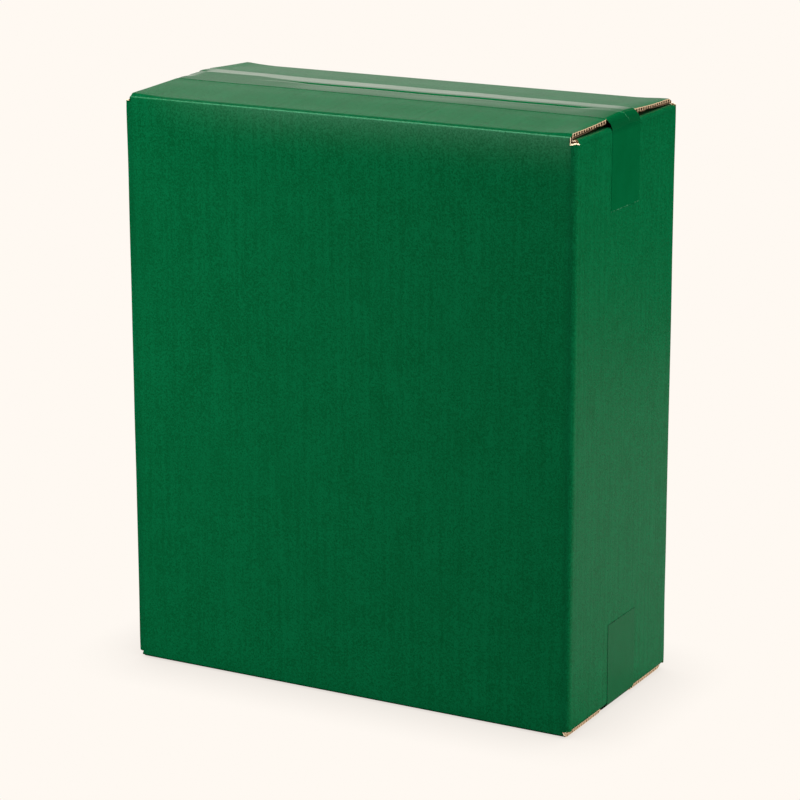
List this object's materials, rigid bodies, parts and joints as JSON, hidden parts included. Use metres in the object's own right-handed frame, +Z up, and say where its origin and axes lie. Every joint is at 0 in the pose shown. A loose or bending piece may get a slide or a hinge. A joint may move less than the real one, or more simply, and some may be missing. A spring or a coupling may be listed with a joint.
{
  "type": "corrugated shipping carton",
  "caption": "Upright corrugated carton with a green printed face, slotted corners, rolled flap folds and green packing tape over both seams.",
  "frame": {"origin": "middle of the carton's base, on the surface that it stands on", "axes": "+X to the right along the wide front, +Y from the front to the back, +Z up"},
  "size_m": [0.3804, 0.177, 0.4565],
  "materials": {
    "board": "satin green print on kraft board",
    "tape": "glossy green packing tape"
  },
  "bodies": {
    "root": {"carton": "board", "top_tape": "tape", "bottom_tape": "tape"}
  },
  "joints": []
}
